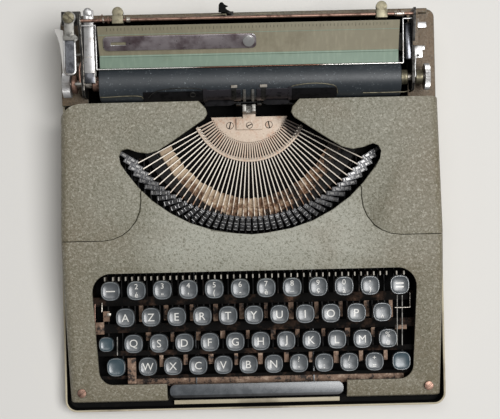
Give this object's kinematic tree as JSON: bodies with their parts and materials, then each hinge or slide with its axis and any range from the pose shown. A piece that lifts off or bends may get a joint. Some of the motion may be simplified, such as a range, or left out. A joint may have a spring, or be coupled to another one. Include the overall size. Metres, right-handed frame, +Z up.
{
  "type": "typewriter",
  "caption": "Slim portable typewriter: four-row keyboard, fan of typebars, and a sliding carriage with rubber platen, in an olive casing on a shallow tray.",
  "frame": {"origin": "on the standing surface, under the middle of the tray", "axes": "+X to the typist's right, +Y from the typist to the carriage, +Z up"},
  "size_m": [0.2928, 0.302, 0.0805],
  "materials": {
    "tray_paint": "semi-matt enamel, worn",
    "rubber": "smooth dark slate rubber",
    "casing_paint": "crinkle enamel, grey olive",
    "deck_paint": "crinkle enamel, darker olive brown",
    "rusty_iron": "aged iron with brown rust",
    "copper": "copper coloured, worn",
    "key_plastic": "dark blue grey, glossy, ivory signs",
    "black_plastic": "black, glossy",
    "segment_metal": "beige, rusty",
    "bright_steel": "bright worn steel",
    "felt": "beige felt",
    "chrome": "polished, slightly stained",
    "dark_steel": "blackened steel",
    "ribbon_cloth": "inked cloth tape",
    "brass": "dull brass",
    "table_paint": "olive enamel"
  },
  "bodies": {
    "root": {"base_tray": "tray_paint", "foot_front_left": "rubber", "foot_front_right": "rubber", "foot_rear_left": "rubber", "foot_rear_right": "rubber", "top_cover": "casing_paint", "cover_screw_left": "copper", "cover_screw_right": "copper", "rear_casing": "deck_paint", "main_frame": "rusty_iron", "type_segment": "segment_metal", "typebars": "bright_steel", "type_rest": "felt", "type_guide": "chrome", "ribbon": "ribbon_cloth", "margin_pawl": "dark_steel", "bell": "brass"},
    "cover_left": {"ribbon_cover_left": "casing_paint"},
    "cover_right": {"ribbon_cover_right": "casing_paint"},
    "spool_left": {"ribbon_spool_left": "dark_steel"},
    "spool_right": {"ribbon_spool_right": "dark_steel"},
    "digit_row": {"keys_digit_row": "key_plastic"},
    "upper_row": {"keys_upper_row": "key_plastic"},
    "lower_row": {"keys_lower_row": "key_plastic"},
    "margin_release": {"key_margin_release": "key_plastic"},
    "backspace": {"key_backspace": "key_plastic"},
    "shift_lock": {"key_shift_lock": "key_plastic"},
    "shift": {"shift_keys": "key_plastic"},
    "space": {"space_bar": "black_plastic"},
    "typebar_h": {"typebar_h": "bright_steel"},
    "vibrator": {"ribbon_vibrator": "chrome"},
    "rail": {"carriage_rail": "bright_steel"},
    "carriage": {"carriage_frame": "dark_steel", "feed_roller": "rubber", "paper_table": "table_paint", "margin_rail": "copper", "return_lever_screw": "brass", "carriage_strap": "chrome"},
    "platen": {"platen": "rubber", "platen_knob_left": "chrome", "platen_knob_right": "chrome"},
    "paper_support": {"paper_support": "chrome"},
    "paper_bail": {"paper_bail": "chrome"},
    "stop_left": {"margin_stop_left": "brass"},
    "stop_right": {"margin_stop_right": "brass"},
    "return_lever": {"return_lever": "chrome"},
    "paper_release": {"paper_release_lever": "chrome"},
    "carriage_lock": {"carriage_lock": "chrome"},
    "drum": {"mainspring_drum": "dark_steel"},
    "key_q": {"key_q": "key_plastic"},
    "key_s": {"key_s": "key_plastic"},
    "key_d": {"key_d": "key_plastic"},
    "key_f": {"key_f": "key_plastic"},
    "key_g": {"key_g": "key_plastic"},
    "key_h": {"key_h": "key_plastic"},
    "key_j": {"key_j": "key_plastic"},
    "key_k": {"key_k": "key_plastic"},
    "key_l": {"key_l": "key_plastic"},
    "key_m": {"key_m": "key_plastic"},
    "key_u_accent": {"key_u_accent": "key_plastic"}
  },
  "joints": [
    {"name": "digit_row_press", "type": "hinge", "parent": "root", "child": "digit_row", "pos_m": [0, 0.06, 0.022], "axis": [1, 0, 0], "range_deg": [0, 4.9], "stiffness_Nm_per_rad": 2, "springref_deg": -2.86},
    {"name": "upper_row_press", "type": "hinge", "parent": "root", "child": "upper_row", "pos_m": [0, 0.06, 0.022], "axis": [1, 0, 0], "range_deg": [0, 4], "stiffness_Nm_per_rad": 2.4, "springref_deg": -2.86},
    {"name": "key_q_press", "type": "hinge", "parent": "root", "child": "key_q", "pos_m": [0, 0.06, 0.022], "axis": [1, 0, 0], "range_deg": [0, 3.5], "stiffness_Nm_per_rad": 0.4, "springref_deg": -2.86},
    {"name": "key_s_press", "type": "hinge", "parent": "root", "child": "key_s", "pos_m": [0, 0.06, 0.022], "axis": [1, 0, 0], "range_deg": [0, 3.5], "stiffness_Nm_per_rad": 0.4, "springref_deg": -2.86},
    {"name": "key_d_press", "type": "hinge", "parent": "root", "child": "key_d", "pos_m": [0, 0.06, 0.022], "axis": [1, 0, 0], "range_deg": [0, 3.5], "stiffness_Nm_per_rad": 0.4, "springref_deg": -2.86},
    {"name": "key_f_press", "type": "hinge", "parent": "root", "child": "key_f", "pos_m": [0, 0.06, 0.022], "axis": [1, 0, 0], "range_deg": [0, 3.5], "stiffness_Nm_per_rad": 0.4, "springref_deg": -2.86},
    {"name": "key_g_press", "type": "hinge", "parent": "root", "child": "key_g", "pos_m": [0, 0.06, 0.022], "axis": [1, 0, 0], "range_deg": [0, 3.5], "stiffness_Nm_per_rad": 0.4, "springref_deg": -2.86},
    {"name": "key_h_press", "type": "hinge", "parent": "root", "child": "key_h", "pos_m": [0, 0.06, 0.022], "axis": [1, 0, 0], "range_deg": [0, 3.5], "stiffness_Nm_per_rad": 0.4, "springref_deg": -2.86},
    {"name": "key_j_press", "type": "hinge", "parent": "root", "child": "key_j", "pos_m": [0, 0.06, 0.022], "axis": [1, 0, 0], "range_deg": [0, 3.5], "stiffness_Nm_per_rad": 0.4, "springref_deg": -2.86},
    {"name": "key_k_press", "type": "hinge", "parent": "root", "child": "key_k", "pos_m": [0, 0.06, 0.022], "axis": [1, 0, 0], "range_deg": [0, 3.5], "stiffness_Nm_per_rad": 0.4, "springref_deg": -2.86},
    {"name": "key_l_press", "type": "hinge", "parent": "root", "child": "key_l", "pos_m": [0, 0.06, 0.022], "axis": [1, 0, 0], "range_deg": [0, 3.5], "stiffness_Nm_per_rad": 0.4, "springref_deg": -2.86},
    {"name": "key_m_press", "type": "hinge", "parent": "root", "child": "key_m", "pos_m": [0, 0.06, 0.022], "axis": [1, 0, 0], "range_deg": [0, 3.5], "stiffness_Nm_per_rad": 0.4, "springref_deg": -2.86},
    {"name": "key_u_accent_press", "type": "hinge", "parent": "root", "child": "key_u_accent", "pos_m": [0, 0.06, 0.022], "axis": [1, 0, 0], "range_deg": [0, 3.5], "stiffness_Nm_per_rad": 0.4, "springref_deg": -2.86},
    {"name": "lower_row_press", "type": "hinge", "parent": "root", "child": "lower_row", "pos_m": [0, 0.06, 0.022], "axis": [1, 0, 0], "range_deg": [0, 3.1], "stiffness_Nm_per_rad": 2.4, "springref_deg": -2.86},
    {"name": "margin_release_press", "type": "hinge", "parent": "root", "child": "margin_release", "pos_m": [0, 0.06, 0.022], "axis": [1, 0, 0], "range_deg": [0, 4.9], "stiffness_Nm_per_rad": 0.4, "springref_deg": -2.86},
    {"name": "backspace_press", "type": "hinge", "parent": "root", "child": "backspace", "pos_m": [0, 0.06, 0.022], "axis": [1, 0, 0], "range_deg": [0, 4.9], "stiffness_Nm_per_rad": 0.4, "springref_deg": -2.86},
    {"name": "shift_lock_press", "type": "hinge", "parent": "root", "child": "shift_lock", "pos_m": [0, 0.06, 0.022], "axis": [1, 0, 0], "range_deg": [0, 3.1], "stiffness_Nm_per_rad": 0.4, "springref_deg": -2.86},
    {"name": "space_bar_press", "type": "hinge", "parent": "root", "child": "space", "pos_m": [0, 0.06, 0.022], "axis": [1, 0, 0], "range_deg": [0, 1.45], "stiffness_Nm_per_rad": 0.9, "springref_deg": -2.86},
    {"name": "carriage_lift", "type": "slide", "parent": "root", "child": "rail", "axis": [0, 0, 1], "range_m": [0, 0.0055]},
    {"name": "shift_press", "type": "hinge", "parent": "root", "child": "shift", "pos_m": [0, 0.06, 0.022], "axis": [1, 0, 0], "range_deg": [0, 3.1]},
    {"name": "typebar_h_strike", "type": "hinge", "parent": "root", "child": "typebar_h", "pos_m": [0.0012, 0.03982, 0.03], "axis": [-0.9996, -0.0279, 0], "range_deg": [0, 139.82]},
    {"name": "vibrator_lift", "type": "slide", "parent": "root", "child": "vibrator", "axis": [0, 0, 1], "range_m": [0, 0.0075]},
    {"name": "carriage_slide", "type": "slide", "parent": "rail", "child": "carriage", "axis": [1, 0, 0], "range_m": [-0.095, 0.095]},
    {"name": "drum_turn", "type": "hinge", "parent": "root", "child": "drum", "pos_m": [-0.06, 0.112, 0.018], "axis": [0, 0, 1], "range_deg": [-275, 275]},
    {"name": "platen_turn", "type": "hinge", "parent": "carriage", "child": "platen", "pos_m": [0, 0.0968, 0.056], "axis": [1, 0, 0], "continuous": true},
    {"name": "return_lever_swing", "type": "hinge", "parent": "carriage", "child": "return_lever", "pos_m": [-0.1287, 0.1434, 0.069], "axis": [0, 0, -1], "range_deg": [0, 60], "stiffness_Nm_per_rad": 0.05, "springref_deg": -17.19},
    {"name": "paper_bail_lift", "type": "hinge", "parent": "carriage", "child": "paper_bail", "pos_m": [0, 0.137, 0.0726], "axis": [-1, 0, 0], "range_deg": [0, 40]},
    {"name": "paper_support_turn", "type": "hinge", "parent": "carriage", "child": "paper_support", "pos_m": [0.0008, 0.12362, 0.07401], "axis": [0, 0.5151, -0.8571], "range_deg": [0, 90]},
    {"name": "margin_stop_left_slide", "type": "slide", "parent": "carriage", "child": "stop_left", "axis": [1, 0, 0], "range_m": [0, 0.06]},
    {"name": "margin_stop_right_slide", "type": "slide", "parent": "carriage", "child": "stop_right", "axis": [1, 0, 0], "range_m": [-0.06, 0]},
    {"name": "paper_release_pull", "type": "hinge", "parent": "carriage", "child": "paper_release", "pos_m": [0.124, 0.114, 0.062], "axis": [1, 0, 0], "range_deg": [0, 25]},
    {"name": "cover_left_open", "type": "hinge", "parent": "root", "child": "cover_left", "pos_m": [-0.1418, 0.03, 0.021], "axis": [0, -1, 0], "range_deg": [0, 70]},
    {"name": "cover_right_open", "type": "hinge", "parent": "root", "child": "cover_right", "pos_m": [0.1418, 0.03, 0.021], "axis": [0, 1, 0], "range_deg": [0, 70]},
    {"name": "spool_left_turn", "type": "hinge", "parent": "root", "child": "spool_left", "pos_m": [-0.11, 0.01, 0.04], "axis": [0, 0, 1], "continuous": true},
    {"name": "spool_right_turn", "type": "hinge", "parent": "root", "child": "spool_right", "pos_m": [0.11, 0.01, 0.04], "axis": [0, 0, 1], "continuous": true},
    {"name": "carriage_lock_slide", "type": "slide", "parent": "root", "child": "carriage_lock", "axis": [0, 1, 0], "range_m": [-0.0035, 0.0055]}
  ],
  "couplings": [
    {"joint": "key_h_press", "follows": "typebar_h_strike", "ratio": 0.024674},
    {"joint": "vibrator_lift", "follows": "typebar_h_strike", "m_per_rad": 0.0030324},
    {"joint": "shift_press", "follows": "carriage_lift", "rad_per_m": 9.6786},
    {"joint": "drum_turn", "follows": "carriage_slide", "rad_per_m": 50}
  ]
}
